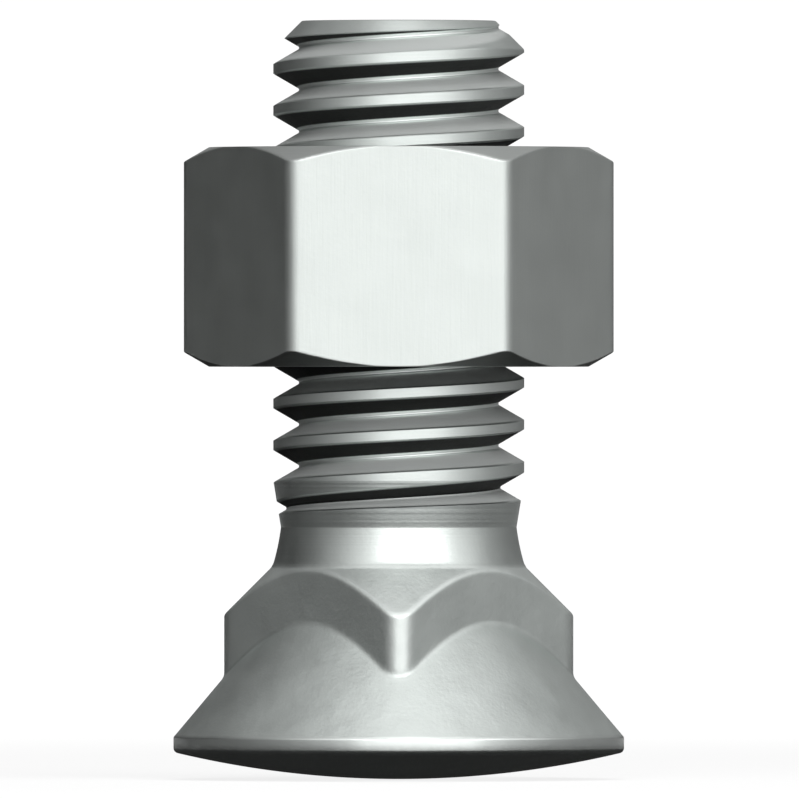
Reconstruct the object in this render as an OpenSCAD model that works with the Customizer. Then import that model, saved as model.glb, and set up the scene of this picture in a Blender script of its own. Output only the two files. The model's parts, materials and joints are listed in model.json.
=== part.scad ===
// Plough bolt with its hex nut: a domed countersunk head, a square neck, a tapered throat and a coarse thread.
// Lengths are in millimetres and angles in degrees. The bolt stands on its head: z = 0 is the lowest point of
// the dome and the thread points along +Z. A corner of the square neck and a corner of the nut lie on +X.

/* [Head] */
// Diameter of the head's rim
head_d = 17.1; // [15:0.1:20]
// Angle between opposite sides of the countersunk cone
head_angle = 80; // [60:1:100]
// Height of the straight rim
rim_h = 0.57; // [0.3:0.01:1.2]
// Height of the dome under the rim
dome_h = 1.02; // [0.5:0.01:2]
// Size of the broken edge between rim and dome
rim_edge = 0.14; // [0.05:0.01:0.25]

/* [Square neck] */
// Width of the square across its flats
square_w = 9.84; // [9.7:0.02:10.6]
// Radius of the square's four upright edges
square_corner_r = 0.8; // [0.3:0.05:1.5]
// Length of the upright edges, from the countersunk cone to the shoulder
square_edge_h = 2.36; // [1:0.02:6]
// Slope of the shoulder above the square
shoulder_angle = 45; // [35:1:55]

/* [Throat] */
// How far the throat's narrowest place lies under the thread's crests
throat_relief = 0.29; // [0.1:0.01:0.4]
// How much the throat widens down to the shoulder
throat_flare = 0.315; // [0.1:0.005:0.35]
// Height of the flare
throat_h = 1.475; // [0.8:0.005:4]
// Radius of the flare's hollow curve
throat_curve_r = 9; // [6:0.5:30]
// Slope of the cone that widens from the throat to the thread's crests
taper_angle = 9.3; // [5:0.1:20]

/* [Thread] */
// Outside diameter of the thread, three eighths of an inch
thread_d = 9.525; // [9.3:0.005:9.6]
// Pitch of the thread, sixteen turns to the inch
thread_pitch = 1.5875; // [1.2:0.0125:2]
// Width of the flat along the crest
crest_w = 0.35; // [0.2:0.01:0.5]
// Width of the flat along the root
root_w = 0.11; // [0.05:0.01:0.3]
// Angle between a flank and a plane square to the axis
flank_angle = 30; // [27:0.5:32]
// Length from the throat's narrowest place to the bolt's end
thread_l = 19.22; // [16:0.02:60]
// Height above the throat at which the groove begins to fade
runout_h = 1.66; // [1:0.01:3]
// Turn over which the fading groove loses its whole depth
runout_turn = 470; // [270:10:720]
// Depth of the lead-in chamfer at the bolt's end
end_chamfer = 1.09; // [0.5:0.01:1.5]
// Distance from the bolt's end down to the centre of the first crest on the +X side
first_crest = 1.035; // [0.5:0.005:1.5]

/* [Hex nut] */
// Width of the nut across its flats, nine sixteenths of an inch
nut_w = 14.2875; // [13.5:0.0125:16]
// Height of the nut
nut_h = 8.33; // [6:0.01:12]
// Diameter of the circle where the corner chamfer meets each end face
nut_face_d = 14.4; // [12.6:0.1:15]
// Slope of the corner chamfer
nut_chamfer_angle = 30; // [15:1:35]
// Radial clearance between the thread's crests and the nut's bore
nut_clearance = 0.05; // [0.02:0.01:0.2]
// How much wider than the bore the lead-in cone is at each end face, on the radius
nut_lead = 0.33; // [0.1:0.01:0.6]
// Length of thread that stands out above the nut
thread_proud = 4.8; // [1:0.05:7]

/* [Hidden] */
$fn = 64;

// Fineness of the groove and of the throat's curve
groove_steps = 40;
throat_steps = 5;
// How far a cutting solid runs past what it cuts, and how deep a joined solid is sunk into its neighbour
past = 1;
sunk = 0.25;
// How far the groove's cutting section stands out past the crests
groove_past = 0.08;

steel = [0.74, 0.76, 0.75];
nut_steel = [0.80, 0.82, 0.81];

head_r = head_d / 2;
dome_r = (head_r * head_r + dome_h * dome_h) / (2 * dome_h);
rim_top_z = dome_h + rim_h;

thread_r = thread_d / 2;
throat_r = thread_r - throat_relief;
flare_r = throat_r + throat_flare;
thread_depth = (thread_pitch - crest_w - root_w) / (2 * tan(flank_angle));
root_r = thread_r - thread_depth;

// Half the diagonal of the square over its rounded edges
square_r = square_w / 2 * sqrt(2) - square_corner_r * (sqrt(2) - 1);
square_z = rim_top_z + (head_r - square_r) / tan(head_angle / 2);
shoulder_z = square_z + square_edge_h;
flare_z = shoulder_z + (square_r - flare_r) * tan(shoulder_angle);
throat_z = flare_z + throat_h;
taper_h = throat_relief / tan(taper_angle);
end_z = throat_z + thread_l;

nut_z = end_z - thread_proud - nut_h;
nut_corner_r = nut_w / 2 / cos(180 / 6);
bore_r = thread_r + nut_clearance;

// Height of the groove's centre after a turn counted from the first groove on the +X side, upwards positive
function groove_z(turn) = end_z - first_crest - thread_pitch / 2 + thread_pitch * turn / 360;

// Turn at which the groove's centre is at a height
function turn_at(z) = (z - groove_z(0)) / thread_pitch * 360;

fade_turn = turn_at(throat_z + runout_h);
groove_low = fade_turn - runout_turn;
groove_high = turn_at(end_z + thread_pitch);
groove_count = ceil((groove_high - groove_low) / 360 * groove_steps);

// How far the groove has moved outwards where it fades
function groove_shift(turn) = max(0, (fade_turn - turn) / runout_turn) * (thread_depth + groove_past);

// The groove's section: how far out from the root, and how far up from the groove's centre
groove_out = thread_depth + groove_past;
groove_half = root_w / 2 + groove_out * tan(flank_angle);
groove_section = [
    [0, -root_w / 2],
    [0, root_w / 2],
    [groove_out, groove_half],
    [groove_out, -groove_half]
];

// A corner of the groove's section, placed at a turn
function groove_corner(turn, corner) =
    let (r = root_r + groove_shift(turn) + corner[0])
    [r * cos(turn), r * sin(turn), groove_z(turn) + corner[1]];

// The hollow curve of the throat, from the shoulder up to the narrowest place
function throat_curve() =
    let (
        rise = [throat_r - flare_r, throat_h],
        half_chord = norm(rise) / 2,
        middle = [(throat_r + flare_r) / 2, flare_z + throat_h / 2],
        outwards = [rise[1], -rise[0]] / norm(rise),
        centre = middle + outwards * sqrt(throat_curve_r * throat_curve_r - half_chord * half_chord),
        low = atan2(flare_z - centre[1], flare_r - centre[0]),
        high = atan2(throat_z - centre[1], throat_r - centre[0]),
        sweep = high - low - 360 * round((high - low) / 360)
    )
    [for (i = [0:throat_steps]) centre + throat_curve_r * [
        cos(low + sweep * i / throat_steps),
        sin(low + sweep * i / throat_steps)
    ]];

// Domed disc, straight rim and countersunk cone
module head() {
    core_r = throat_r - sunk;
    core_z = rim_top_z + (head_r - core_r) / tan(head_angle / 2);
    edge_z = dome_h + rim_edge;
    intersection() {
        rotate_extrude()
            polygon([
                [0, -past],
                [head_r - edge_z - past, -past],
                [head_r, edge_z],
                [head_r, rim_top_z],
                [core_r, core_z],
                [0, core_z]
            ]);
        translate([0, 0, dome_r])
            sphere(r = dome_r);
    }
}

// Square section with rounded edges, its corners on the X and Y axes
module square_section() {
    corner = square_w / 2 - square_corner_r;
    rotate(45)
        union() {
            square([square_w, 2 * corner], center = true);
            square([2 * corner, square_w], center = true);
            for (x = [-corner, corner], y = [-corner, corner])
                translate([x, y])
                    circle(r = square_corner_r);
        }
}

// Square neck that stands on the countersunk cone, under a conical shoulder
module square_neck() {
    top_r = throat_r - sunk;
    top_z = shoulder_z + (square_r - top_r) * tan(shoulder_angle);
    wide_z = shoulder_z - past * tan(shoulder_angle);
    intersection() {
        translate([0, 0, rim_top_z])
            linear_extrude(top_z - rim_top_z)
                square_section();
        rotate_extrude()
            polygon([
                [0, 0],
                [square_r + past, 0],
                [square_r + past, wide_z],
                [top_r, top_z],
                [0, top_z]
            ]);
    }
}

// Plain round shank before the thread is cut: throat, taper, thread blank and end chamfer
module shank() {
    curve = throat_curve();
    slope = (curve[0][0] - curve[1][0]) / (curve[1][1] - curve[0][1]);
    rotate_extrude()
        polygon(concat(
            [[0, flare_z - sunk], [flare_r + slope * sunk, flare_z - sunk]],
            curve,
            [
                [thread_r, throat_z + taper_h],
                [thread_r, end_z - end_chamfer],
                [thread_r - end_chamfer, end_z],
                [0, end_z]
            ]
        ));
}

// The space between the turns of the thread, wound from its fading end at the throat to past the bolt's end
module thread_groove() {
    corners = len(groove_section);
    turns = [for (i = [0:groove_count]) groove_low + (groove_high - groove_low) * i / groove_count];
    points = [for (turn = turns) for (corner = groove_section) groove_corner(turn, corner)];
    sides = [
        for (i = [0:groove_count - 1]) for (j = [0:corners - 1])
            let (
                a = i * corners + j,
                b = i * corners + (j + 1) % corners,
                c = a + corners,
                d = b + corners
            )
            each [[a, d, b], [a, c, d]]
    ];
    last = groove_count * corners;
    caps = [[for (j = [0:corners - 1]) j], [for (j = [corners - 1:-1:0]) last + j]];
    polyhedron(points = points, faces = concat(sides, caps));
}

module plough_bolt() {
    color(steel)
        difference() {
            union() {
                head();
                square_neck();
                shank();
            }
            thread_groove();
        }
}

// Outline that rounds off the nut's corners at both ends
module nut_chamfers() {
    outer_r = nut_corner_r + past;
    drop = (outer_r - nut_face_d / 2) * tan(nut_chamfer_angle);
    rotate_extrude()
        polygon([
            [0, 0],
            [nut_face_d / 2, 0],
            [outer_r, drop],
            [outer_r, nut_h - drop],
            [nut_face_d / 2, nut_h],
            [0, nut_h]
        ]);
}

// Bore with a lead-in cone at each end
module nut_bore() {
    translate([0, 0, -past])
        cylinder(r = bore_r, h = nut_h + 2 * past);
    for (side = [0, 1])
        translate([0, 0, side * nut_h])
            mirror([0, 0, side])
                translate([0, 0, -past])
                    cylinder(r1 = bore_r + nut_lead + past, r2 = bore_r, h = nut_lead + past);
}

module hex_nut() {
    color(nut_steel)
        translate([0, 0, nut_z])
            difference() {
                intersection() {
                    cylinder(r = nut_corner_r, h = nut_h, $fn = 6);
                    nut_chamfers();
                }
                nut_bore();
            }
}

plough_bolt();
hex_nut();
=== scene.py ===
"""Plough bolt with its hex nut: detailed shapes, steel finishes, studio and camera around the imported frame.

Sizes are in millimetres. MM turns them into metres where a mesh, a light or the camera is made.
"""

import json
import math

import bpy
import numpy as np
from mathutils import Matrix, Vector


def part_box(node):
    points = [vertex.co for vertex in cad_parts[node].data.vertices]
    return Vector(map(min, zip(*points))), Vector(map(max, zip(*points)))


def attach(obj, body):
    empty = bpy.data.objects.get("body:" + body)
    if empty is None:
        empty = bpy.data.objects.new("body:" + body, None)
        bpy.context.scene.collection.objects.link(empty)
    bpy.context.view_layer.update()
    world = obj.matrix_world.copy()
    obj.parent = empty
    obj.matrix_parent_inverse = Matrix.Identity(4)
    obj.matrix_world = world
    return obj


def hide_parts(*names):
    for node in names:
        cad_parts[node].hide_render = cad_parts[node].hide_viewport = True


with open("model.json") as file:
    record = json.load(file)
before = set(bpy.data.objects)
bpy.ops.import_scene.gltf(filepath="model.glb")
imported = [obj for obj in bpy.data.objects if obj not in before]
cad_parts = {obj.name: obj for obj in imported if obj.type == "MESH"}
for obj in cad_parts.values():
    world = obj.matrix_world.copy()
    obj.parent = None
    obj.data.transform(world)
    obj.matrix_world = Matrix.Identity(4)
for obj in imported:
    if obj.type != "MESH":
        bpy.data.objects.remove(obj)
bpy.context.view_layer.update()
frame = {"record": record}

MM = 0.001

# Places that come from the frame
bolt_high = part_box("plough_bolt")[1] / MM
nut_low, nut_high = [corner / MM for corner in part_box("hex_nut")]
HEAD_R = bolt_high.x
END_Z = bolt_high.z
NUT_Z = nut_low.z
NUT_H = nut_high.z - nut_low.z
NUT_FLAT_R = nut_high.y
NUT_DOWN = -frame["record"]["behaviour"]["joints"][0]["range_m"][0] / MM

# Head
HEAD_SLOPE = math.tan(math.radians(40))
DOME_H = 1.02
RIM_H = 0.57
RIM_ROUND = 0.2
RIM_TOP_ROUND = 0.12
RIM_TOP_Z = DOME_H + RIM_H
DOME_R = (HEAD_R ** 2 + DOME_H ** 2) / (2 * DOME_H)

# Square neck
SQUARE_FLAT_R = 4.92
SQUARE_CORNER_R = 0.8
SQUARE_EDGE_H = 2.36
SQUARE_R = SQUARE_FLAT_R * math.sqrt(2) - SQUARE_CORNER_R * (math.sqrt(2) - 1)
SQUARE_Z = RIM_TOP_Z + (HEAD_R - SQUARE_R) / HEAD_SLOPE
SHOULDER_Z = SQUARE_Z + SQUARE_EDGE_H
SHOULDER_ROUND = 0.1
FOOT_ROUND = 0.12

# Throat, between the shoulder and the thread
THREAD_R = 4.7625
THROAT_RELIEF = 0.29
THROAT_R = THREAD_R - THROAT_RELIEF
THROAT_FLARE = 0.315
FLARE_R = THROAT_R + THROAT_FLARE
FLARE_Z = SHOULDER_Z + SQUARE_R - FLARE_R
THROAT_H = 1.475
THROAT_Z = FLARE_Z + THROAT_H
THROAT_CURVE_R = 9
TAPER_SLOPE = math.tan(math.radians(9.3))
CORE_INSET = 0.05
CORE_R = FLARE_R - CORE_INSET
CORE_TOP_GAP = 0.1
TURNED_ROUND = 0.5

# Bolt's thread
PITCH = 1.5875
FLANK_SLOPE = math.tan(math.radians(30))
CREST_W = 0.35
CREST_EDGE = 0.04
CREST_EDGE_SLOPE = math.tan(math.radians(60))
ROOT_W = 0.11
ROOT_ROUND = 0.09
THREAD_DEPTH = (PITCH - CREST_W - ROOT_W) / (2 * FLANK_SLOPE)
ROOT_R = THREAD_R - THREAD_DEPTH
GROOVE_PAST = 0.04
END_CHAMFER = 1.09
CHAMFER_START_ROUND = 0.15
CHAMFER_END_ROUND = 0.12
FIRST_CREST = 1.035
GROOVE_ZERO_Z = END_Z - FIRST_CREST - PITCH / 2
RUNOUT_H = 1.66
RUNOUT_Z = THROAT_Z + RUNOUT_H
RUNOUT_TURN = 470
RUNOUT_PAST = 0.08

# Nut
NUT_FACE_R = 7.2
NUT_CORNER_ROUND = 0.6
NUT_EDGE_ROUND = 0.08
NUT_CHAMFER_SLOPE = math.tan(math.radians(30))
CUT_PAST = 0.3
NUT_RING_R = NUT_FLAT_R / math.cos(math.pi / 6) + CUT_PAST
NUT_LEAD = 0.38
NUT_LEAD_R = THREAD_R + NUT_LEAD
NUT_LEAD_ROUND = 0.06
NUT_BORE_R = 3.98
NUT_BORE_ROUND = 0.1
NUT_CUT_R = NUT_BORE_R - CUT_PAST
NUT_ROOT_GAP = 0.06
NUT_GROOVE_R = THREAD_R + NUT_ROOT_GAP
NUT_GROOVE_ROUND = 0.05
FLANK_GAP = 0.03
RELIEF = 0.3
RELIEF_TURN = 130

# Fineness of the meshes
COLUMNS = 288
THREAD_STEPS = 96
DOME_STEPS = 30
THROAT_STEPS = 24
ROUND_STEPS = 7
ROUND_POINTS = 4
LONG_STEP = 0.35
NECK_STEP = 0.085
CHAMFER_STEP = 0.05
FINE_BELOW_NECK = 0.5
FINE_ABOVE_NECK = 0.2
FINE_INSIDE_FLAT = 0.2
SAME_HEIGHT = 0.001
CRISP_ANGLE = math.radians(27)

# Steel colours
BOLT_ZINC = ((0.60, 0.64, 0.62), (0.70, 0.74, 0.72))
NUT_ZINC = ((0.585, 0.62, 0.6), (0.665, 0.70, 0.68))
# Worn zinc, laid on as edge wear with painted highlight at the rim and the neck's corners, as painted
# highlight along the thread's roots and as painted light on the shoulder
WORN_AND_PAINTED_HIGHLIGHT_ZINC = (0.80, 0.84, 0.82)
BARE_STEEL = (0.42, 0.43, 0.425)
END_STEEL = ((0.33, 0.34, 0.335), (0.56, 0.57, 0.565))
# Painted shade: near-black zinc laid on the thread's lower flanks and on the nut's lower chamfers
PAINTED_SHADE_TONE = (0.028, 0.0295, 0.0285)
# Painted light: lighter zinc laid on the thread's upper flanks
PAINTED_LIGHT_FLANK = (0.73, 0.76, 0.745)

# How far each place goes towards the colour, or the dull look, that it is given: painted light on the
# shoulder, edge wear with painted highlight on the corners and the rim, painted shade on the nut's lower
# chamfers, and for the rest the place's own finish
SHOULDER_PAINTED_LIGHT = 0.55
CORNER_WEAR_AND_PAINTED_HIGHLIGHT = 0.4
RIM_WEAR_AND_PAINTED_HIGHLIGHT = 0.8
UPPER_FLANK_DULL = 0.6
END_DULL = 0.3
BORE_BARE = 0.85
FACE_BARE = 0.55
CHAMFER_PAINTED_SHADE = 0.6

# Roughness of the bolt and the nut, what spots and grain vary it by, and what each place adds
BOLT_ROUGHNESS = 0.35
BOLT_SPOT_ROUGHNESS = 0.2
GRAIN_ROUGHNESS = 0.1
FORGED_ROUGHNESS = 0.08
SHOULDER_ROUGHNESS = 0.045
EDGE_ROUGHNESS = -0.16
FLANK_ROUGHNESS = 0.2
NUT_ROUGHNESS = 0.34
NUT_SPOT_ROUGHNESS = 0.12
CUT_ROUGHNESS = 0.14

# The bolt is no smoother than this, because the denoiser leaves specks on steel that is
SMOOTHEST = 0.285

# Each finish comes in between two distances, in millimetres, from its own edge
FORGED_FADE = (-0.1, 0.1)
GROOVE_FADE = (0.04, 0.16)
GROOVE_START_FADE = (0, 0.1)
GROOVE_END_FADE = (-0.03, -0.01)
ROOT_FADE = (0.05, 0.12)
END_FADE = (-0.02, -0.01)
SHOULDER_FADE = (0.04, 0.1)
CORNER_FADE = (-0.2, -0.05)
CORNER_CONE_FADE = (0.1, 0.3)
RIM_FADE = (-0.1, -0.05)
TURNED_FADE = (0.02, 0.06)
CHAMFER_FADE = (0, 0.04)
BORE_FADE = (-0.1, 0)

# The lower flank passes into the upper one at the crest's middle, in pitches across the thread
FLANK_FADE = (0.45, 0.55)

# Marks in the steel: sizes across, heights, and the share of its colour that the finest ones vary
FINE_SHARE = 0.35
GRAIN_SIZE = 0.12
GRAIN_H = 0.003
SPOT_SIZE = 1.7
SPOT_DETAIL = 3
FINE_DETAIL = 2
FORGING_SIZE = 0.9
FORGING_H = 0.02
FORGED_GRAIN_H = 0.006
TOOL_LINE = 0.14
TURNING_H = 0.004
FACING_H = 0.006
END_LINE = 0.22
END_LINE_H = 0.012
ROLLING_LINE = 0.08
DRAWING_LINE = 0.09
DRAWING_STRETCH = 0.04
DRAWING_H = 0.005

# Camera: level with the bolt, and so far off that the view is nearly parallel
PHOTO_MM = 0.03795
PHOTO_SIZE = 799
PHOTO_AXIS_X = 398.75
PHOTO_BASE_Y = 779
LENS = 1500
SENSOR = 36
VIEW_END_M = 10

# Lamps: place, width, height, and brightness where seen
BOLT_MIDDLE = (0, 0, END_Z / 2)
FRONT_BOX = ((70, -420, 40), 520, 230, 0.24)
HIGH_BOX = ((50, -190, 350), 300, 200, 1.5)
LOW_BOX = ((12, -62, 3), 70, 5, 1.6)
LOW_AIM = (0, 0, 3)

# The key light is three panels at one place, so that it fades towards its sides
KEY_PLACE = (95, -350, 220)
KEY_WIDTHS = (200, 380, 560)
KEY_H = 190
KEY_GLOW = 1.7

# World: its fill on the steel, and where it is seen a tone over 1, so that it stays white when denoised
WORLD_FILL = 0.1
WORLD_WHITE = 1.04

# Cards that only the steel reflects: turns from the camera and heights in degrees, with their tones
TENT_R = 200
TENT_LEFT = -20
TENT_RIGHT = 48
TENT_FOOT = 0.5
TENT_TOP = 80
TENT_RISE = 2.3
HORIZON_LOW = 6
HORIZON_HIGH = 22
HORIZON_TONES = (
    (-180, 0.06), (-130, 0.04), (-110, 0.07), (-85, 0.14), (-62, 0.24), (-42, 0.44), (-20, 0.8),
    (48, 0.85), (63, 0.58), (74, 0.46), (86, 0.34), (99, 0.28), (114, 0.26), (134, 0.18), (180, 0.1))
TENT_TONES = (
    (-180, 0.18), (-125, 0.02), (-90, 0.1), (-60, 0.42), (-38, 1.0),
    (56, 1.0), (74, 1.0), (90, 0.42), (120, 0.2), (150, 0.26), (180, 0.22))
FLAG_LOW = 38
FLAG_HIGH = 66
FLAG_TONE = 0.6
GROUND_DARK_R = 20
GROUND_PALE_R = 66
GROUND_TONE = 0.02
CARD_COLUMNS = 49
CARD_ROWS = 17
CARD_SIDES = 48

# Floor, just under the bolt, with the ground card between them
CARD_Z = -0.01
FLOOR_Z = -0.02
FLOOR_REACH = 1500
FLOOR_COLOUR = (0.35, 0.35, 0.35, 1)
FLOOR_ROUGHNESS = 0.9
FLOOR_GLOW = 0.84
FLOOR_GLOW_R = (60, 300)


class Value:
    """A node's output that takes part in Python sums: each operator adds its Math node to the tree."""

    def __init__(self, tree, socket):
        self.tree = tree
        self.socket = socket

    def math(self, operation, *others, clamp=False):
        values = dict(enumerate((self, *others)))
        return self.tree.value("ShaderNodeMath", {"operation": operation, "use_clamp": clamp}, values)

    def reflected(self, operation, other):
        return self.tree.value("ShaderNodeMath", {"operation": operation}, {0: other, 1: self})

    def __add__(self, other):
        return self.math("ADD", other)

    def __radd__(self, other):
        return self.reflected("ADD", other)

    def __sub__(self, other):
        return self.math("SUBTRACT", other)

    def __rsub__(self, other):
        return self.reflected("SUBTRACT", other)

    def __mul__(self, other):
        return self.math("MULTIPLY", other)

    def __rmul__(self, other):
        return self.reflected("MULTIPLY", other)

    def __truediv__(self, other):
        return self.math("DIVIDE", other)

    def __rtruediv__(self, other):
        return self.reflected("DIVIDE", other)

    def __neg__(self):
        return self.math("MULTIPLY", -1)


class Tree:
    """A shader or geometry node tree that is written one call to a node."""

    def __init__(self, tree):
        self.tree = tree

    def add(self, kind, settings=None, values=None):
        """Adds a node: its settings first, then the numbers or links of its sockets, by name or by place."""
        node = self.tree.nodes.new(kind)
        for name, setting in (settings or {}).items():
            if name == "stops":
                self.set_stops(node.color_ramp, setting)
            elif name == "items":
                while len(node.index_switch_items) < setting:
                    node.index_switch_items.new()
            else:
                setattr(node, name, setting)
        for name, value in (values or {}).items():
            if isinstance(value, Value):
                self.tree.links.new(value.socket, node.inputs[name])
            else:
                node.inputs[name].default_value = value
        return node

    def value(self, kind, settings=None, values=None, output=0):
        return Value(self, self.add(kind, settings, values).outputs[output])

    def set_stops(self, ramp, stops):
        while len(ramp.elements) < len(stops):
            ramp.elements.new(1)
        for element, (place, tone) in zip(ramp.elements, stops):
            element.position = place
            element.color = (tone, tone, tone, 1)


# Shapes


def polygon_radius(turn, sides, flat_r, corner_r):
    """Distance from the axis to a rounded polygon's edge in each direction; a corner lies at turn 0."""
    sector = 2 * math.pi / sides
    half = sector / 2
    from_corner = np.abs((turn + half) % sector - half)
    from_flat = half - from_corner
    centre = (flat_r - corner_r) / math.cos(half)
    inside = np.maximum(corner_r ** 2 - (centre * np.sin(from_corner)) ** 2, 0)
    on_corner = centre * np.cos(from_corner) + np.sqrt(inside)
    on_flat = flat_r / np.cos(from_flat)
    is_flat = flat_r * np.tan(from_flat) <= (flat_r - corner_r) * math.tan(half)
    return np.where(is_flat, on_flat, on_corner)


def soft_min(a, b, reach):
    """The smaller of two distances, with a rounded crossing."""
    near = np.maximum(reach - np.abs(a - b), 0) / reach
    return np.minimum(a, b) - near ** 2 * reach / 4


def soft_max(a, b, reach):
    return -soft_min(-a, -b, reach)


def arc(centre, start, stop, count):
    """Points along the shorter arc between two directions from a centre, given as vectors of one length."""
    sweep = math.acos(np.clip(start @ stop / (start @ start), -1, 1))
    return [centre + (math.sin((1 - step) * sweep) * start + math.sin(step * sweep) * stop) / math.sin(sweep)
            for step in np.linspace(0, 1, count)]


def rounded(corners, closed=False):
    """Points of a profile: each corner is (radius from the axis, height, rounding)."""
    points = []
    count = len(corners)
    for i, (r, z, size) in enumerate(corners):
        here = np.array((r, z))
        if size == 0 or (not closed and i in (0, count - 1)):
            points.append(here)
            continue
        before = np.array(corners[i - 1][:2]) - here
        after = np.array(corners[(i + 1) % count][:2]) - here
        before = before / np.linalg.norm(before)
        after = after / np.linalg.norm(after)
        half = math.acos(np.clip(before @ after, -1, 1)) / 2
        middle = before + after
        centre = here + middle / np.linalg.norm(middle) * size / math.sin(half)
        start = here + before * size / math.tan(half) - centre
        stop = here + after * size / math.tan(half) - centre
        points += arc(centre, start, stop, ROUND_STEPS)
    return points


def divided(points, step_at, closed=False):
    """The same profile with its long stretches cut into steps; step_at gives the step near a point."""
    out = []
    ends = points[1:] + points[:1] if closed else points[1:]
    for a, b in zip(points, ends):
        length = float(np.linalg.norm(b - a))
        count = max(1, math.ceil(length / step_at((a + b) / 2)))
        out += [a + (b - a) * i / count for i in range(count)]
    return out if closed else out + [points[-1]]


def turned_mesh(name, profile, radius_rule, closed=False):
    """A mesh turned round the Z axis, where radius_rule(r, z, turn) may move each point in or out.

    An open profile starts and ends on the axis. A closed one goes round a ring's section.
    """
    profile = np.array(profile)
    turn = np.arange(COLUMNS) * 2 * math.pi / COLUMNS
    rows = profile if closed else profile[1:-1]
    r = radius_rule(rows[:, :1], rows[:, 1:], turn[None, :])
    ring = np.stack((r * np.cos(turn), r * np.sin(turn), np.broadcast_to(rows[:, 1:], r.shape)), axis=2)
    points = ring.reshape(-1, 3)
    count = len(rows)
    last = count if closed else count - 1
    faces = []
    for i in range(last):
        low = i * COLUMNS
        high = (i + 1) % count * COLUMNS
        for j in range(COLUMNS):
            k = (j + 1) % COLUMNS
            faces.append((low + j, low + k, high + k, high + j))
    if not closed:
        bottom, top = len(points), len(points) + 1
        points = np.vstack((points, [[0, 0, profile[0, 1]], [0, 0, profile[-1, 1]]]))
        high = (count - 1) * COLUMNS
        faces += [(bottom, (j + 1) % COLUMNS, j) for j in range(COLUMNS)]
        faces += [(top, high + j, high + (j + 1) % COLUMNS) for j in range(COLUMNS)]
    mesh = bpy.data.meshes.new(name)
    mesh.from_pydata((points * MM).tolist(), [], faces)
    mesh.validate()
    return mesh


def dome_points():
    """From the dome's lowest point to just inside the rim."""
    return [np.array((r, DOME_R - math.sqrt(DOME_R ** 2 - r ** 2)))
            for r in np.linspace(0, HEAD_R - 2 * RIM_ROUND, DOME_STEPS)]


def throat_points():
    """The throat's hollow curve, from the shoulder's foot to where the thread's run-out begins."""
    low = np.array((FLARE_R, FLARE_Z))
    high = np.array((THROAT_R, THROAT_Z))
    half = np.linalg.norm(high - low) / 2
    along = (high - low) / (2 * half)
    outward = np.array((along[1], -along[0]))
    centre = (low + high) / 2 + outward * math.sqrt(THROAT_CURVE_R ** 2 - half ** 2)
    return arc(centre, low - centre, high - centre, THROAT_STEPS)


def bolt_profile():
    """From the lowest point of the dome to the middle of the bolt's end."""
    dome = dome_points()
    throat = throat_points()
    head = rounded([
        (*dome[-1], 0),
        (HEAD_R, DOME_H, RIM_ROUND),
        (HEAD_R, RIM_TOP_Z, RIM_TOP_ROUND),
        (CORE_R, RIM_TOP_Z + (HEAD_R - CORE_R) / HEAD_SLOPE, TURNED_ROUND),
        (CORE_R, FLARE_Z - CORE_TOP_GAP, 0),
    ])
    shank = rounded([
        (*throat[-1], 0),
        (THREAD_R, THROAT_Z + (THREAD_R - THROAT_R) / TAPER_SLOPE, TURNED_ROUND),
        (THREAD_R, END_Z - END_CHAMFER, CHAMFER_START_ROUND),
        (THREAD_R - END_CHAMFER, END_Z, CHAMFER_END_ROUND),
        (0, END_Z, 0),
    ])

    def step_at(point):
        return NECK_STEP if SQUARE_Z - FINE_BELOW_NECK < point[1] < FLARE_Z + FINE_ABOVE_NECK else LONG_STEP

    return divided(dome[:-1] + head + throat[:-1] + shank, step_at)


def bolt_radius(r, z, turn):
    """The square neck stands out of the round body between the countersunk cone and the shoulder."""
    square = polygon_radius(turn, 4, SQUARE_FLAT_R, SQUARE_CORNER_R)
    shoulder = SQUARE_R + SHOULDER_Z - z
    neck = soft_min(square, shoulder, SHOULDER_ROUND)
    here = (z > RIM_TOP_Z + RIM_TOP_ROUND * 2) & (z < THROAT_Z)
    joined = soft_max(r + 0 * turn, neck, FOOT_ROUND)
    return np.where(here, joined, r + 0 * turn)


def nut_profile():
    """The section of the nut's ring: bore, lead-in cones, faces and corner chamfers."""
    low = [
        (NUT_BORE_R, NUT_LEAD_R - NUT_BORE_R, NUT_BORE_ROUND),
        (NUT_LEAD_R, 0, NUT_LEAD_ROUND),
        (NUT_FACE_R, 0, NUT_EDGE_ROUND),
        (NUT_RING_R, (NUT_RING_R - NUT_FACE_R) * NUT_CHAMFER_SLOPE, 0),
    ]
    high = [(r, NUT_H - z, size) for r, z, size in reversed(low)]
    corners = [(r, NUT_Z + z, size) for r, z, size in low + high]

    def step_at(point):
        return CHAMFER_STEP if NUT_FLAT_R - FINE_INSIDE_FLAT < point[0] < NUT_RING_R else LONG_STEP

    return divided(rounded(corners, closed=True), step_at, closed=True)


def nut_radius(r, z, turn):
    return soft_min(r + 0 * turn, polygon_radius(turn, 6, NUT_FLAT_R, NUT_CORNER_ROUND), NUT_EDGE_ROUND)


# Threads


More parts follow.
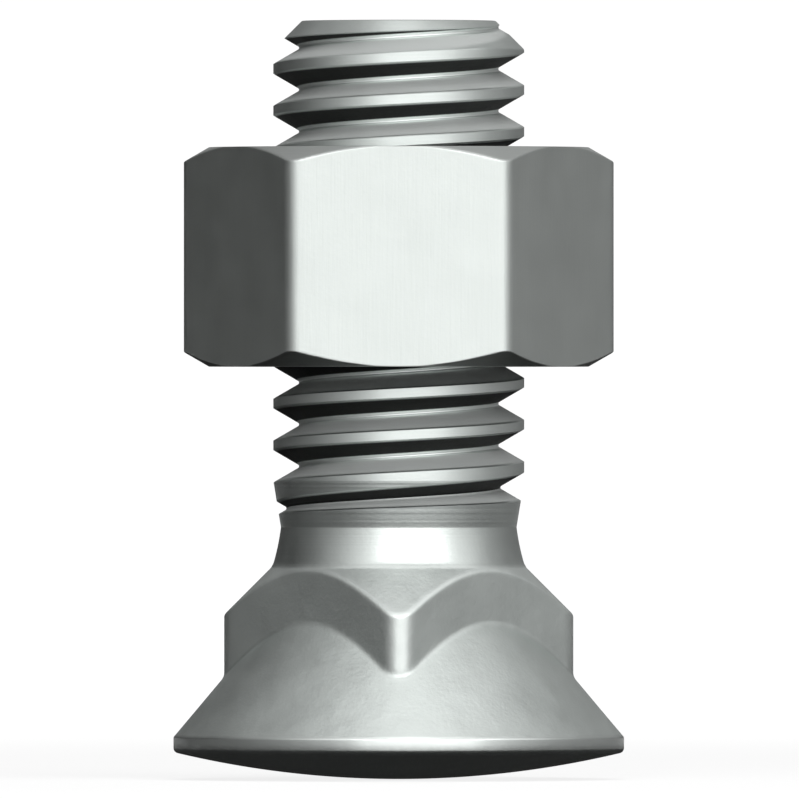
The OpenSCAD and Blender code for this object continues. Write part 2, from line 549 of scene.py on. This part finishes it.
def thread_cutter():
    """Geometry nodes that wind a six-cornered section along a helix and cut it out of a mesh."""
    group = bpy.data.node_groups.new("cut_thread", "GeometryNodeTree")
    numbers = ["First turn", "Last turn", "Steps per turn", "Height at turn zero", "Pitch", "Low radius",
               "Low half width", "Middle radius", "Middle half width", "High radius", "High half width",
               "Corner rounding", "Fade turn", "Fade length", "Fade distance"]
    group.interface.new_socket("Geometry", in_out="INPUT", socket_type="NodeSocketGeometry")
    for name in numbers:
        group.interface.new_socket(name, in_out="INPUT", socket_type="NodeSocketFloat")
    group.interface.new_socket("Finish", in_out="INPUT", socket_type="NodeSocketMaterial")
    group.interface.new_socket("Geometry", in_out="OUTPUT", socket_type="NodeSocketGeometry")
    tree = Tree(group)
    given = tree.add("NodeGroupInput").outputs

    def size(name):
        return Value(tree, given[name])

    # The path: a helix whose radius grows where the groove fades
    turns = size("Last turn") - size("First turn")
    count = (turns / 360 * size("Steps per turn")).math("CEIL") + 1
    line = tree.value("GeometryNodeCurvePrimitiveLine")
    line = tree.value("GeometryNodeResampleCurve", {"mode": "COUNT"}, {"Curve": line, "Count": count})
    along = tree.value("GeometryNodeSplineParameter")
    turn = size("First turn") + turns * along
    angle = turn.math("RADIANS")
    faded = (size("Fade turn") - turn).math("DIVIDE", size("Fade length"), clamp=True)
    r = size("Low radius") + faded * size("Fade distance")
    height = size("Height at turn zero") + size("Pitch") * turn / 360
    place = tree.value("ShaderNodeCombineXYZ", None,
                       {0: r * angle.math("COSINE"), 1: r * angle.math("SINE"), 2: height})
    path = tree.value("GeometryNodeSetPosition", None, {"Geometry": line, "Position": place})
    path = tree.value("GeometryNodeSetCurveNormal", {"mode": "Z_UP"}, {"Curve": path})

    # The section: out from the low radius, and up or down from the path
    middle = size("Middle radius") - size("Low radius")
    high = size("High radius") - size("Low radius")
    low_w, middle_w, high_w = size("Low half width"), size("Middle half width"), size("High half width")
    corner = tree.value("GeometryNodeInputIndex")
    out = tree.value("GeometryNodeIndexSwitch", {"data_type": "FLOAT", "items": 6},
                     {"Index": corner, 1: 0, 2: 0, 3: middle, 4: high, 5: high, 6: middle})
    up = tree.value("GeometryNodeIndexSwitch", {"data_type": "FLOAT", "items": 6},
                    {"Index": corner, 1: low_w, 2: -low_w, 3: -middle_w, 4: -high_w, 5: high_w, 6: middle_w})
    section = tree.value("GeometryNodeMeshLine", None, {"Count": 6})
    place = tree.value("ShaderNodeCombineXYZ", None, {0: out, 1: up})
    section = tree.value("GeometryNodeSetPosition", None, {"Geometry": section, "Position": place})
    section = tree.value("GeometryNodeMeshToCurve", None, {"Mesh": section})
    section = tree.value("GeometryNodeSetSplineCyclic", None, {"Geometry": section, "Cyclic": True})
    section = tree.value("GeometryNodeFilletCurve", {"mode": "POLY"},
                         {"Curve": section, "Count": ROUND_POINTS, "Radius": size("Corner rounding"),
                          "Limit Radius": True})

    cutter = tree.value("GeometryNodeCurveToMesh", None,
                        {"Curve": path, "Profile Curve": section, "Fill Caps": True})
    cut = tree.value("GeometryNodeMeshBoolean", {"operation": "DIFFERENCE", "solver": "MANIFOLD"},
                     {"Mesh 1": size("Geometry"), "Mesh 2": cutter})
    cut = tree.value("GeometryNodeSetShadeSmooth", None, {"Geometry": cut})
    cut = tree.value("GeometryNodeRealizeInstances", None, {"Geometry": cut})
    cut = tree.value("GeometryNodeSetMaterial", None, {"Geometry": cut, "Material": size("Finish")})
    tree.add("NodeGroupOutput", None, {"Geometry": cut})
    return group


def turn_at(z):
    return (z - GROOVE_ZERO_Z) / PITCH * 360


def bolt_thread_sizes():
    """The groove's root and flanks, and past them a flatter slope that breaks the crest's edges."""
    edge_r = THREAD_R - CREST_EDGE
    edge_half = ROOT_W / 2 + (edge_r - ROOT_R) * FLANK_SLOPE
    high_r = THREAD_R + GROOVE_PAST
    return {
        "First turn": turn_at(RUNOUT_Z) - RUNOUT_TURN,
        "Last turn": turn_at(END_Z + PITCH),
        "Height at turn zero": GROOVE_ZERO_Z * MM,
        "Pitch": PITCH * MM,
        "Low radius": ROOT_R * MM,
        "Low half width": ROOT_W / 2 * MM,
        "Middle radius": edge_r * MM,
        "Middle half width": edge_half * MM,
        "High radius": high_r * MM,
        "High half width": (edge_half + (high_r - edge_r) * CREST_EDGE_SLOPE) * MM,
        "Corner rounding": ROOT_ROUND * MM,
        "Fade turn": turn_at(RUNOUT_Z),
        "Fade length": float(RUNOUT_TURN),
        "Fade distance": (THREAD_DEPTH + RUNOUT_PAST) * MM,
        "Steps per turn": float(THREAD_STEPS),
    }


def nut_thread_sizes():
    """The cutter follows the bolt's crest, half a pitch above its groove, and leaves a gap at both flanks.

    The nut's first threads are relieved where they meet the bolt's run-out at the nut's lowest place.
    """
    middle_r = (NUT_CUT_R + NUT_GROOVE_R) / 2

    def half_width(r):
        return (CREST_W / 2 + FLANK_GAP + (THREAD_R - r) * FLANK_SLOPE) * MM

    return {
        "First turn": turn_at(NUT_Z - PITCH * 1.5),
        "Last turn": turn_at(NUT_Z + NUT_H + PITCH / 2),
        "Height at turn zero": (GROOVE_ZERO_Z + PITCH / 2) * MM,
        "Pitch": PITCH * MM,
        "Low radius": NUT_CUT_R * MM,
        "Low half width": half_width(NUT_CUT_R),
        "Middle radius": middle_r * MM,
        "Middle half width": half_width(middle_r),
        "High radius": NUT_GROOVE_R * MM,
        "High half width": half_width(NUT_GROOVE_R),
        "Corner rounding": NUT_GROOVE_ROUND * MM,
        "Fade turn": turn_at(RUNOUT_Z + NUT_DOWN),
        "Fade length": float(RELIEF_TURN),
        "Fade distance": RELIEF * MM,
        "Steps per turn": float(THREAD_STEPS),
    }


def with_thread(name, mesh, group, sizes, finish):
    """Cuts the thread out of a mesh by the node group and returns a plain mesh object."""
    blank = bpy.data.objects.new(name + "_blank", mesh)
    bpy.context.scene.collection.objects.link(blank)
    modifier = blank.modifiers.new("thread", "NODES")
    modifier.node_group = group
    sockets = {item.name: item.identifier for item in group.interface.items_tree if item.in_out == "INPUT"}
    for key, value in sizes.items():
        modifier[sockets[key]] = value
    modifier[sockets["Finish"]] = finish
    bpy.context.view_layer.update()
    seen = blank.evaluated_get(bpy.context.evaluated_depsgraph_get())
    result = bpy.data.meshes.new_from_object(seen)
    result.name = name
    result.set_sharp_from_angle(angle=CRISP_ANGLE)
    bpy.data.objects.remove(blank)
    piece = bpy.data.objects.new(name, result)
    bpy.context.scene.collection.objects.link(piece)
    return piece


def crisp_ring(piece, z):
    """Keeps the edge that runs round a piece at one height from being shaded soft."""
    points = piece.data.vertices
    for edge in piece.data.edges:
        if all(abs(points[i].co.z / MM - z) < SAME_HEIGHT for i in edge.vertices):
            edge.use_edge_sharp = True


# Finishes


def coordinates(tree):
    """A point's place on its own object, in metres, and its X, Y and Z in millimetres."""
    place = tree.value("ShaderNodeTexCoord", output="Object")
    apart = tree.add("ShaderNodeSeparateXYZ", None, {"Vector": place}).outputs
    return place, *[Value(tree, socket) / MM for socket in apart]


def from_axis(x, y):
    return (x * x + y * y).math("SQRT")


def cloud(tree, place, size, detail=FINE_DETAIL):
    """Soft spots of about this size in millimetres, from 0 to 1."""
    return tree.value("ShaderNodeTexNoise", {"noise_dimensions": "3D"},
                      {"Vector": place, "Scale": 1 / (size * MM), "Detail": detail})


def lines(tree, across, size):
    """Tool lines of about this width, from 0 to 1, that change only with the distance across them."""
    return tree.value("ShaderNodeTexNoise", {"noise_dimensions": "1D"},
                      {"W": across, "Scale": 1 / size, "Detail": FINE_DETAIL})


def ramp(tree, value, low, high):
    """Rises smoothly from 0 to 1 while the value goes from low to high."""
    return tree.value("ShaderNodeMapRange", {"interpolation_type": "SMOOTHSTEP"},
                      {"Value": value, "From Min": low, "From Max": high})


def mixed(tree, share, first, second):
    """A blend of two colours, each a node's output or three numbers."""
    values = {"Factor": share}
    for name, colour in (("A", first), ("B", second)):
        values[name] = colour if isinstance(colour, Value) else (*colour, 1)
    return tree.value("ShaderNodeMix", {"data_type": "RGBA"}, values, output="Result")


def new_material(name):
    material = bpy.data.materials.new(name)
    material.use_nodes = True
    material.node_tree.nodes.clear()
    return material, Tree(material.node_tree)


def finish_steel(tree, colour, roughness, height, metallic=1.0):
    """Joins colour, roughness and a height in millimetres into the zinc-plated surface."""
    bump = tree.value("ShaderNodeBump", None, {"Height": height, "Distance": MM})
    surface = tree.value("ShaderNodeBsdfPrincipled", None, {
        "Base Color": colour, "Metallic": metallic, "Roughness": roughness, "Normal": bump})
    tree.add("ShaderNodeOutputMaterial", None, {"Surface": surface})


def thread_place(x, y, z):
    """The place across the thread: 0 in a groove's middle, half on the crest above, 1 in the next groove."""
    turn = y.math("ARCTAN2", x) / (2 * math.pi)
    return ((z - GROOVE_ZERO_Z) / PITCH - turn).math("FRACT")


def groove_mask(tree, r, z):
    """One inside the bolt's thread groove, and zero on the blank that it is rolled into."""
    blank_r = (THROAT_R + (z - THROAT_Z) * TAPER_SLOPE).math("MINIMUM", THREAD_R)
    blank_r = blank_r.math("MINIMUM", THREAD_R - END_CHAMFER + END_Z - z)
    groove = ramp(tree, blank_r - r, *GROOVE_FADE) * (1 - ramp(tree, z - END_Z, *GROOVE_END_FADE))
    return groove * ramp(tree, z - THROAT_Z, *GROOVE_START_FADE)


def wear_and_painted_light_masks(tree, r, z, forged):
    """Where the head end is made lighter: painted light on the shoulder's cone, against the nut's shade, and
    edge wear with painted highlight on the neck's corners and the rim.
    """
    shoulder = 1 - ramp(tree, (r + z - SQUARE_R - SHOULDER_Z).math("ABSOLUTE"), *SHOULDER_FADE)
    above_cone = r - (HEAD_R - (z - RIM_TOP_Z) * HEAD_SLOPE)
    corner = ramp(tree, r - SQUARE_R, *CORNER_FADE) * ramp(tree, above_cone, *CORNER_CONE_FADE)
    rim = ramp(tree, r - HEAD_R, *RIM_FADE)
    return shoulder * forged, corner * forged * CORNER_WEAR_AND_PAINTED_HIGHLIGHT + rim * RIM_WEAR_AND_PAINTED_HIGHLIGHT


def bolt_steel():
    """Zinc on forged steel at the head and neck, on turned steel at the throat and on the rolled thread, with
    painted shade on the thread's lower flanks, painted light on its upper flanks and the shoulder, and
    painted highlights on its roots, the rim and the neck's corners.
    """
    material, tree = new_material("bolt_zinc")
    place, x, y, z = coordinates(tree)
    r = from_axis(x, y)
    across = thread_place(x, y, z)
    spots = cloud(tree, place, SPOT_SIZE, SPOT_DETAIL)
    grain = cloud(tree, place, GRAIN_SIZE)

    forged = 1 - ramp(tree, z - FLARE_Z, *FORGED_FADE)
    groove = groove_mask(tree, r, z)
    root = 1 - ramp(tree, r - ROOT_R, *ROOT_FADE)
    flank = groove * (1 - root)
    # The lower flanks get painted shade and the upper flanks painted light
    under = flank * (1 - ramp(tree, across, *FLANK_FADE))
    over = flank - under
    shoulder, edges = wear_and_painted_light_masks(tree, r, z, forged)
    cut_end = ramp(tree, z - END_Z, *END_FADE)
    rings = lines(tree, r, END_LINE)

    colour = mixed(tree, spots * (1 - FINE_SHARE) + grain * FINE_SHARE, *BOLT_ZINC)
    # Painted light on the shoulder under the nut, edge wear with painted highlight on the rim and the neck's
    # corners, and painted highlight along the thread's roots
    bright = (shoulder * SHOULDER_PAINTED_LIGHT + edges + groove * root).math("MINIMUM", 1)
    colour = mixed(tree, bright, colour, WORN_AND_PAINTED_HIGHLIGHT_ZINC)
    colour = mixed(tree, cut_end, colour, mixed(tree, rings, *END_STEEL))
    # Painted shade: the thread's lower flanks near black
    colour = mixed(tree, under, colour, PAINTED_SHADE_TONE)
    # Painted light: the thread's upper flanks lighter
    colour = mixed(tree, over, colour, PAINTED_LIGHT_FLANK)
    roughness = BOLT_ROUGHNESS + (spots - 0.5) * BOLT_SPOT_ROUGHNESS + (grain - 0.5) * GRAIN_ROUGHNESS
    roughness = roughness + forged * FORGED_ROUGHNESS + shoulder * SHOULDER_ROUGHNESS
    roughness = roughness + edges * EDGE_ROUGHNESS + (flank + cut_end) * FLANK_ROUGHNESS
    roughness = roughness.math("MAXIMUM", SMOOTHEST)
    metallic = 1 - over * UPPER_FLANK_DULL - cut_end * END_DULL

    forging = (cloud(tree, place, FORGING_SIZE) - 0.5) * FORGING_H + (grain - 0.5) * FORGED_GRAIN_H
    turning = lines(tree, z, TOOL_LINE) * TURNING_H * (1 - groove)
    rolling = lines(tree, across * PITCH, ROLLING_LINE) * TURNING_H * groove
    facing = rings * END_LINE_H * cut_end
    height = forged * forging * (1 - edges) + (1 - forged) * (turning + rolling + facing + grain * GRAIN_H)
    finish_steel(tree, colour, roughness, height, metallic)
    return material


def nut_steel():
    """Zinc on a nut that is drawn along its flats and turned on its faces and chamfers, with painted shade on
    its lower chamfers.
    """
    material, tree = new_material("nut_zinc")
    place, x, y, z = coordinates(tree)
    r = from_axis(x, y)
    spots = cloud(tree, place, SPOT_SIZE, SPOT_DETAIL)
    grain = cloud(tree, place, GRAIN_SIZE)
    along_bar = tree.value("ShaderNodeVectorMath", {"operation": "MULTIPLY"},
                           {0: place, 1: (1, 1, DRAWING_STRETCH)})
    drawn = cloud(tree, along_bar, DRAWING_LINE)

    from_face = (z - NUT_Z).math("MINIMUM", NUT_Z + NUT_H - z)
    chamfer_h = (r - NUT_FACE_R).math("MAXIMUM", 0) * NUT_CHAMFER_SLOPE
    turned = 1 - ramp(tree, from_face - chamfer_h, *TURNED_FADE)
    bore = 1 - ramp(tree, r - NUT_LEAD_R, *BORE_FADE)
    face = turned * (1 - bore)
    chamfer = turned * ramp(tree, chamfer_h, *CHAMFER_FADE)
    low_chamfer = chamfer * z.math("LESS_THAN", NUT_Z + NUT_H / 2)

    colour = mixed(tree, spots * (1 - FINE_SHARE) + drawn * FINE_SHARE, *NUT_ZINC)
    colour = mixed(tree, bore * BORE_BARE + face * FACE_BARE, colour, BARE_STEEL)
    # Painted shade: the lower chamfers darkened towards the near-black tone
    colour = mixed(tree, low_chamfer * CHAMFER_PAINTED_SHADE, colour, PAINTED_SHADE_TONE)
    roughness = NUT_ROUGHNESS + (spots - 0.5) * NUT_SPOT_ROUGHNESS + (bore + face) * CUT_ROUGHNESS

    drawing = drawn * DRAWING_H * (1 - turned)
    turning = lines(tree, r, TOOL_LINE) * FACING_H * turned
    finish_steel(tree, colour, roughness, turning + drawing + grain * GRAIN_H)
    return material


# Studio


def photo_camera():
    """Looks along Y at the photograph's place and scale."""
    data = bpy.data.cameras.new("camera")
    data.lens = LENS
    data.sensor_width = SENSOR
    data.clip_end = VIEW_END_M
    camera = bpy.data.objects.new("camera", data)
    camera.location = (
        (PHOTO_SIZE / 2 - PHOTO_AXIS_X) * PHOTO_MM * MM,
        -PHOTO_SIZE * PHOTO_MM * LENS / SENSOR * MM,
        (PHOTO_BASE_Y - PHOTO_SIZE / 2) * PHOTO_MM * MM,
    )
    camera.rotation_euler = (math.pi / 2, 0, 0)
    bpy.context.scene.collection.objects.link(camera)
    bpy.context.scene.camera = camera


def soft_box(name, place, width, height, radiance, aim=BOLT_MIDDLE):
    """A lamp panel that faces the bolt."""
    data = bpy.data.lights.new(name, "AREA")
    data.shape = "RECTANGLE"
    data.size = width * MM
    data.size_y = height * MM
    data.energy = radiance * math.pi * width * height * MM ** 2
    lamp = bpy.data.objects.new(name, data)
    lamp.location = [c * MM for c in place]
    away = np.array(place) - np.array(aim)
    lean = math.atan2(math.hypot(away[0], away[1]), away[2])
    lamp.rotation_euler = (lean, 0, math.atan2(away[0], -away[1]))
    lamp.visible_camera = False
    bpy.context.scene.collection.objects.link(lamp)


def stage_mesh(name, points, faces, material):
    """A plain mesh in millimetres that belongs to the studio and not to the bolt."""
    mesh = bpy.data.meshes.new(name)
    mesh.from_pydata((np.array(points) * MM).tolist(), [], faces)
    mesh.materials.append(material)
    thing = bpy.data.objects.new(name, mesh)
    bpy.context.scene.collection.objects.link(thing)
    return thing


def only_in_reflections(thing):
    thing.visible_camera = False
    thing.visible_diffuse = False
    thing.visible_shadow = False


def glow_material(name, tone_of):
    """A self-lit grey: tone_of works out its brightness from the distances along X, Y and Z."""
    material, tree = new_material(name)
    x, y, z = coordinates(tree)[1:]
    glow = tree.value("ShaderNodeEmission", None, {"Color": tone_of(tree, x, y, z), "Strength": 1})
    tree.add("ShaderNodeOutputMaterial", None, {"Surface": glow})
    return material


def side_tone(tree, x, y, tones):
    """Dark at the bolt's left, grey at its right and white towards the camera."""
    from_camera = x.math("ARCTAN2", -y) / (2 * math.pi) + 0.5
    stops = [(degrees / 360 + 0.5, tone) for degrees, tone in tones]
    return tree.value("ShaderNodeValToRGB", {"stops": stops}, {"Fac": from_camera})


def tent_tone(tree, x, y, z):
    """Close grading at the horizon, a wider one above it, and white at the top."""
    height = (z / TENT_R).math("ARCSINE", clamp=True) * 180 / math.pi
    side = mixed(tree, ramp(tree, height, HORIZON_LOW, HORIZON_HIGH),
                 side_tone(tree, x, y, HORIZON_TONES), side_tone(tree, x, y, TENT_TONES))
    return mixed(tree, (height / 90).math("POWER", TENT_RISE), side, (1, 1, 1))


def flag_tone(tree, x, y, z):
    return (FLAG_TONE, FLAG_TONE, FLAG_TONE, 1)


def ground_tone(tree, x, y, z):
    """Black near the bolt, and as the horizon further out."""
    return mixed(tree, ramp(tree, from_axis(x, y), GROUND_DARK_R, GROUND_PALE_R),
                 (GROUND_TONE, GROUND_TONE, GROUND_TONE), side_tone(tree, x, y, HORIZON_TONES))


def arc_card(name, start, stop, low, high, tone_of):
    """A curved card round the bolt between two turns from the camera and two heights, all in degrees."""
    sides = np.radians(np.linspace(start, stop, CARD_COLUMNS))
    heights = np.radians(np.linspace(low, high, CARD_ROWS))
    points = [(TENT_R * math.cos(h) * math.sin(a), -TENT_R * math.cos(h) * math.cos(a), TENT_R * math.sin(h))
              for a in sides for h in heights]
    faces = [(i * CARD_ROWS + j, i * CARD_ROWS + j + 1, (i + 1) * CARD_ROWS + j + 1, (i + 1) * CARD_ROWS + j)
             for i in range(CARD_COLUMNS - 1) for j in range(CARD_ROWS - 1)]
    only_in_reflections(stage_mesh(name, points, faces, glow_material(name + "_grey", tone_of)))


def ground_card():
    """A card on the floor that keeps the undersides dark."""
    angles = np.radians(np.arange(0, 360, 360 / CARD_SIDES))
    points = [(TENT_R * math.cos(a), TENT_R * math.sin(a), CARD_Z) for a in angles]
    card = stage_mesh("ground_card", points, [tuple(range(len(points)))],
                      glow_material("ground_grey", ground_tone))
    only_in_reflections(card)


def background_rays(tree):
    """One for the rays that show the background: the camera's, and those in gloss and glass."""
    rays = tree.add("ShaderNodeLightPath").outputs
    seen = Value(tree, rays["Is Camera Ray"]) + Value(tree, rays["Is Glossy Ray"])
    return (seen + Value(tree, rays["Is Transmission Ray"])).math("MINIMUM", 1)


def pale_floor():
    """A pale floor that keeps the bolt's shadow, and that can't be seen from below."""
    material, tree = new_material("pale_floor")
    x, y, z = coordinates(tree)[1:]
    glow = FLOOR_GLOW + ramp(tree, from_axis(x, y), *FLOOR_GLOW_R) * (WORLD_WHITE - FLOOR_GLOW)
    pale = tree.value("ShaderNodeBsdfPrincipled", None, {
        "Base Color": FLOOR_COLOUR, "Roughness": FLOOR_ROUGHNESS, "Specular IOR Level": 0,
        "Emission Color": background_rays(tree) * glow, "Emission Strength": 1})
    from_below = tree.value("ShaderNodeNewGeometry", output="Backfacing")
    clear = tree.value("ShaderNodeBsdfTransparent")
    surface = tree.value("ShaderNodeMixShader", None, {0: from_below, 1: pale, 2: clear})
    tree.add("ShaderNodeOutputMaterial", None, {"Surface": surface})
    reach = FLOOR_REACH
    corners = [(-reach, -reach, FLOOR_Z), (reach, -reach, FLOOR_Z),
               (reach, reach, FLOOR_Z), (-reach, reach, FLOOR_Z)]
    stage_mesh("floor", corners, [(0, 1, 2, 3)], material)


def white_world():
    """White where it is seen, and a faint even fill on the bolt."""
    world = bpy.data.worlds.new("studio")
    world.use_nodes = True
    world.node_tree.nodes.clear()
    bpy.context.scene.world = world
    tree = Tree(world.node_tree)
    strength = WORLD_FILL + background_rays(tree) * (WORLD_WHITE - WORLD_FILL)
    background = tree.value("ShaderNodeBackground", None, {"Color": (1, 1, 1, 1), "Strength": strength})
    tree.add("ShaderNodeOutputWorld", None, {"Surface": background})


# The bolt, its nut and the studio


cut_thread = thread_cutter()

bolt = with_thread("bolt_forged", turned_mesh("bolt_blank", bolt_profile(), bolt_radius),
                   cut_thread, bolt_thread_sizes(), bolt_steel())
crisp_ring(bolt, THROAT_Z)
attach(bolt, "bolt")
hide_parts("plough_bolt")

nut = with_thread("nut_formed", turned_mesh("nut_blank", nut_profile(), nut_radius, closed=True),
                  cut_thread, nut_thread_sizes(), nut_steel())
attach(nut, "nut")
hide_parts("hex_nut")

photo_camera()
soft_box("front_box", *FRONT_BOX)
soft_box("high_box", *HIGH_BOX)
for key_w in KEY_WIDTHS:
    soft_box(f"key_box_{key_w}", KEY_PLACE, key_w, KEY_H, KEY_GLOW)
soft_box("low_box", *LOW_BOX, aim=LOW_AIM)
arc_card("side_tent", TENT_RIGHT, 360 + TENT_LEFT, TENT_FOOT, TENT_TOP, tent_tone)
arc_card("front_flag", TENT_LEFT, TENT_RIGHT, FLAG_LOW, FLAG_HIGH, flag_tone)
ground_card()
pale_floor()
white_world()
bpy.context.scene.view_settings.view_transform = "Standard"
